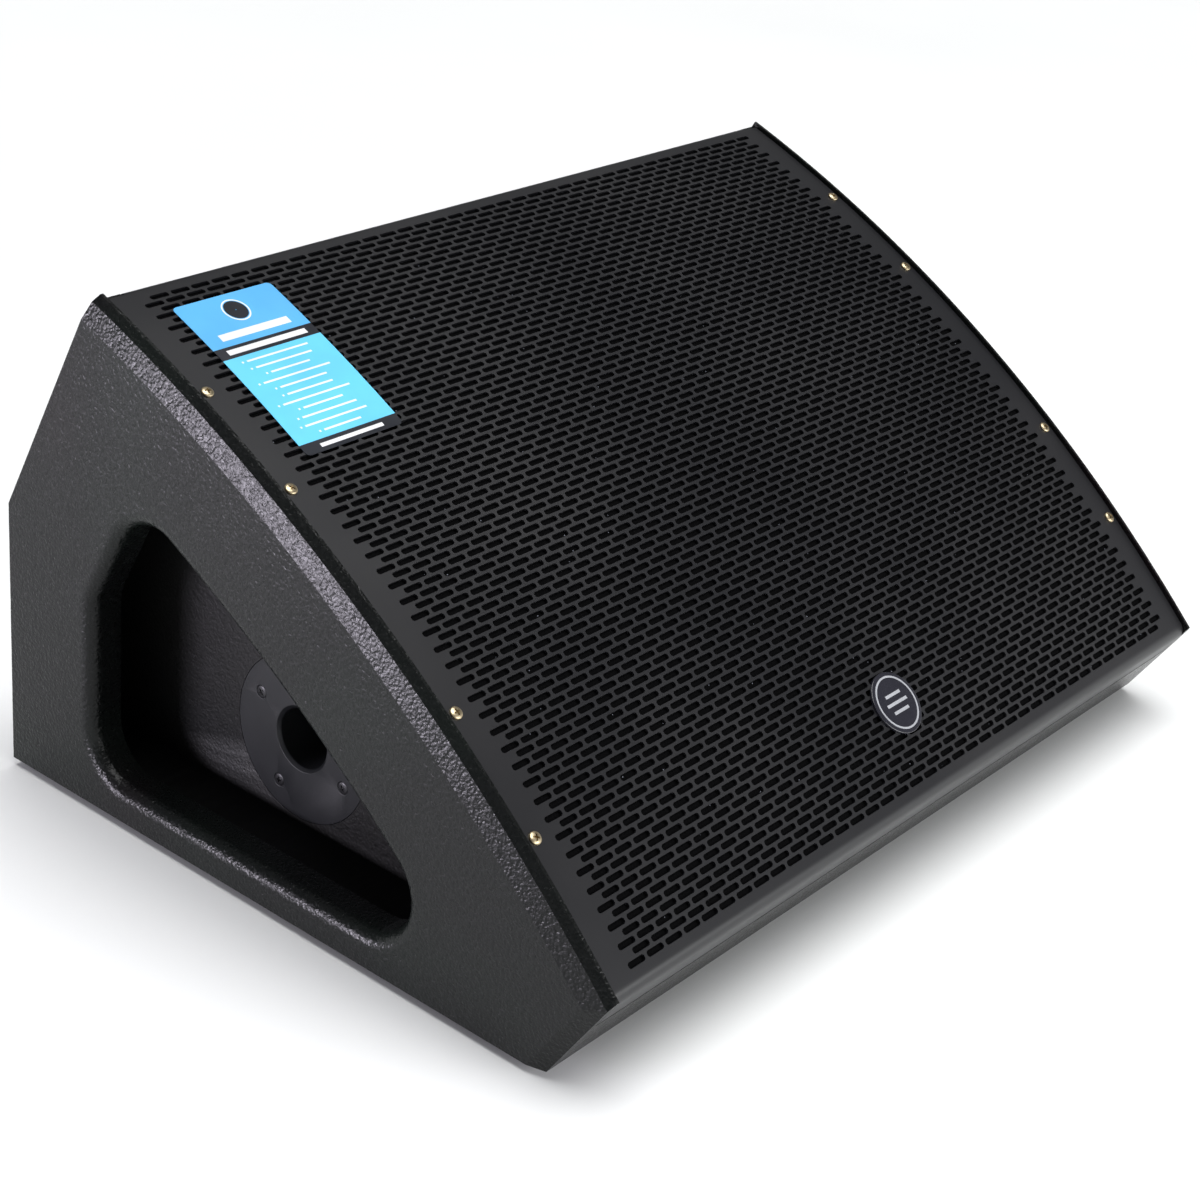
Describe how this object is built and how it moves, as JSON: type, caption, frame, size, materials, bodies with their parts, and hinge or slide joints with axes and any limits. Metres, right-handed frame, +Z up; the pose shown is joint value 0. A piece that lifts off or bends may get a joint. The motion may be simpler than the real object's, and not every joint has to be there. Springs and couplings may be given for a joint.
{
  "type": "stage monitor wedge",
  "caption": "Low wedge-shaped active floor monitor loudspeaker with a curved perforated grille, handle openings in its side panels and a pole socket.",
  "frame": {"origin": "on the floor under the middle of the cabinet's bounding box", "axes": "+Z up, +X along the width, -Y towards the low nose on the grille side, +Y out of the upright rear face with the connectors"},
  "size_m": [0.6, 0.445, 0.311],
  "materials": {
    "panel_coat": "textured black hard coating over plywood",
    "board_paint": "black paint over plywood",
    "pocket_paint": "textured dark grey paint over plywood",
    "grille_paint": "satin black powder coat on perforated steel",
    "grille_cloth": "thin black acoustic cloth",
    "zinc_screw": "yellow zinc plating",
    "black_screw": "black oxide",
    "plain_screw": "bright zinc plating",
    "badge_plastic": "gloss black with a silver rim",
    "label_print": "printed film in blue with dark bands",
    "socket_coat": "satin dark grey coating",
    "foot_rubber": "matt moulded rubber",
    "basket_paint": "black paint on pressed steel",
    "gasket": "matt foam rubber",
    "surround": "treated cloth roll",
    "cone_paper": "black pressed paper",
    "spider_cloth": "phenolic cloth",
    "copper": "enamelled copper winding",
    "plated_steel": "grey plated steel",
    "ferrite": "matt grey ferrite",
    "horn_plastic": "matt black",
    "can_paint": "satin black",
    "port_plastic": "matt black",
    "felt": "grey wadding",
    "plate_paint": "fine textured black powder coat",
    "sink_black": "black anodised",
    "circuit_board": "green solder mask",
    "supply_steel": "plain zinc sheet",
    "capacitor_sleeve": "blue heat-shrink sleeve",
    "connector_plastic": "matt black",
    "connector_metal": "nickel plated",
    "gold_pins": "gold plated",
    "rocker_red": "gloss red",
    "pot_metal": "bright plated",
    "knob_plastic": "soft dark grey",
    "button_plastic": "light grey",
    "lamp_green": "clear green lens"
  },
  "bodies": {
    "cabinet": {"side_panel_left": "panel_coat", "side_panel_right": "panel_coat", "pocket_wall_left": "pocket_paint", "pocket_wall_right": "pocket_paint", "bottom_panel": "board_paint", "rear_panel": "panel_coat", "top_panel": "panel_coat", "kick_panel": "panel_coat", "baffle": "board_paint", "grille_rails": "board_paint", "feet": "foot_rubber", "foot_screws": "plain_screw", "grille": "grille_paint", "grille_foam": "grille_cloth", "grille_screws": "zinc_screw", "badge": "badge_plastic", "info_label": "label_print", "pole_socket": "socket_coat", "pole_socket_screws": "black_screw", "woofer_frame": "basket_paint", "woofer_gasket": "gasket", "woofer_surround": "surround", "woofer_spider": "spider_cloth", "magnet_top_plate": "plated_steel", "magnet_ring": "ferrite", "pole_piece": "plated_steel", "horn_flare": "horn_plastic", "compression_driver": "can_paint", "woofer_screws": "black_screw", "port_tubes": "port_plastic", "damping_felt": "felt", "amp_plate": "plate_paint", "amp_screws": "black_screw", "heatsink": "sink_black", "amp_board": "circuit_board", "power_supply": "supply_steel", "capacitors": "capacitor_sleeve", "mains_inlet": "connector_plastic", "inlet_pins": "connector_metal", "fuse_holder": "connector_plastic", "rocker_frame": "connector_plastic", "input_socket": "connector_plastic", "link_socket": "connector_plastic", "link_pins": "gold_pins", "potentiometers": "pot_metal", "lift_switch": "connector_plastic", "status_lamps": "lamp_green"},
    "cone": {"woofer_cone": "cone_paper", "voice_coil": "copper"},
    "level_control": {"level_knob": "knob_plastic"},
    "bass_control": {"bass_knob": "knob_plastic"},
    "treble_control": {"treble_knob": "knob_plastic"},
    "power_switch": {"power_rocker": "rocker_red"},
    "latch": {"input_latch": "connector_metal"},
    "lift": {"lift_button": "button_plastic"}
  },
  "joints": [
    {"name": "cone_travel", "type": "slide", "parent": "cabinet", "child": "cone", "axis": [0, -0.5568, 0.8307], "range_m": [-0.006, 0.006], "stiffness_N_per_m": 5000, "deforming": ["woofer_surround", "woofer_spider"]},
    {"name": "level_turn", "type": "hinge", "parent": "cabinet", "child": "level_control", "pos_m": [0.084, 0.2125, 0.083], "axis": [0, 1, 0], "range_deg": [-150, 150]},
    {"name": "bass_turn", "type": "hinge", "parent": "cabinet", "child": "bass_control", "pos_m": [0.113, 0.2125, 0.083], "axis": [0, 1, 0], "range_deg": [-150, 150]},
    {"name": "treble_turn", "type": "hinge", "parent": "cabinet", "child": "treble_control", "pos_m": [0.142, 0.2125, 0.083], "axis": [0, 1, 0], "range_deg": [-150, 150]},
    {"name": "power_rock", "type": "hinge", "parent": "cabinet", "child": "power_switch", "pos_m": [-0.126, 0.2105, 0.059], "axis": [1, 0, 0], "range_deg": [-16, 0]},
    {"name": "latch_press", "type": "slide", "parent": "cabinet", "child": "latch", "axis": [0, 1, 0], "range_m": [-0.002, 0], "stiffness_N_per_m": 300},
    {"name": "lift_press", "type": "slide", "parent": "cabinet", "child": "lift", "axis": [0, 1, 0], "range_m": [-0.003, 0], "stiffness_N_per_m": 200}
  ]
}
